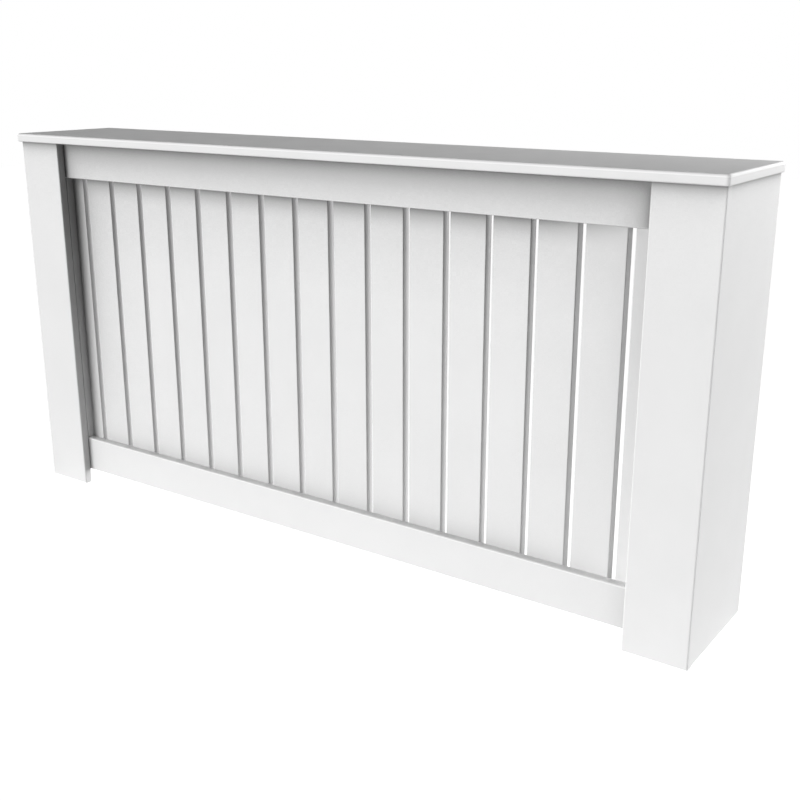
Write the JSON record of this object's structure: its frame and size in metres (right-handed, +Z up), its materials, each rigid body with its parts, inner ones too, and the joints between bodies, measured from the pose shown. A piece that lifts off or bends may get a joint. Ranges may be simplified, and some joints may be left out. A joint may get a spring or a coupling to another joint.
{
  "type": "radiator cover cabinet",
  "caption": "White radiator cover: top board on side panels and flat corner posts, with a recessed front frame of vertical slats, open at the back.",
  "frame": {"origin": "on the floor under the middle of the cover's overall width and depth", "axes": "+Z up, the slatted front looks along -Y, the open back stands at the wall on +Y, +X is to the right as seen from the front"},
  "size_m": [1.64, 0.265, 0.82],
  "materials": {
    "white_board": "satin white lacquer",
    "dowel_wood": "bare beech",
    "zinc_steel": "bright zinc plate",
    "cam_metal": "cast zinc"
  },
  "bodies": {
    "cabinet": {"top_board": "white_board", "side_panel_left": "white_board", "side_panel_right": "white_board", "corner_post_left": "white_board", "corner_post_right": "white_board", "frame_rail_top": "white_board", "frame_rail_bottom": "white_board", "frame_stile_left": "white_board", "frame_stile_right": "white_board", "slat_01": "white_board", "slat_02": "white_board", "slat_03": "white_board", "slat_04": "white_board", "slat_05": "white_board", "slat_06": "white_board", "slat_07": "white_board", "slat_08": "white_board", "slat_09": "white_board", "slat_10": "white_board", "slat_11": "white_board", "slat_12": "white_board", "slat_13": "white_board", "slat_14": "white_board", "slat_15": "white_board", "slat_16": "white_board", "slat_17": "white_board", "top_dowels": "dowel_wood", "post_dowels": "dowel_wood", "rail_dowels": "dowel_wood", "stile_dowels": "dowel_wood", "slat_screws_top": "zinc_steel", "slat_screws_bottom": "zinc_steel", "post_screws": "zinc_steel", "corner_bracket_screws": "zinc_steel", "wall_bracket_screws": "zinc_steel", "corner_bracket_left_lower": "zinc_steel", "corner_bracket_left_upper": "zinc_steel", "corner_bracket_right_lower": "zinc_steel", "corner_bracket_right_upper": "zinc_steel", "wall_bracket_left": "zinc_steel", "wall_bracket_right": "zinc_steel", "cam_bolts": "zinc_steel"},
    "cam_left_front": {"cam_left_front": "cam_metal"},
    "cam_left_rear": {"cam_left_rear": "cam_metal"},
    "cam_right_front": {"cam_right_front": "cam_metal"},
    "cam_right_rear": {"cam_right_rear": "cam_metal"}
  },
  "joints": [
    {"name": "cam_left_front_turn", "type": "hinge", "parent": "cabinet", "child": "cam_left_front", "pos_m": [-0.797, -0.0245, 0.768], "axis": [1, 0, 0], "range_deg": [0, 180]},
    {"name": "cam_left_rear_turn", "type": "hinge", "parent": "cabinet", "child": "cam_left_rear", "pos_m": [-0.797, 0.0925, 0.768], "axis": [1, 0, 0], "range_deg": [0, 180]},
    {"name": "cam_right_front_turn", "type": "hinge", "parent": "cabinet", "child": "cam_right_front", "pos_m": [0.797, -0.0245, 0.768], "axis": [-1, 0, 0], "range_deg": [0, 180]},
    {"name": "cam_right_rear_turn", "type": "hinge", "parent": "cabinet", "child": "cam_right_rear", "pos_m": [0.797, 0.0925, 0.768], "axis": [-1, 0, 0], "range_deg": [0, 180]}
  ]
}
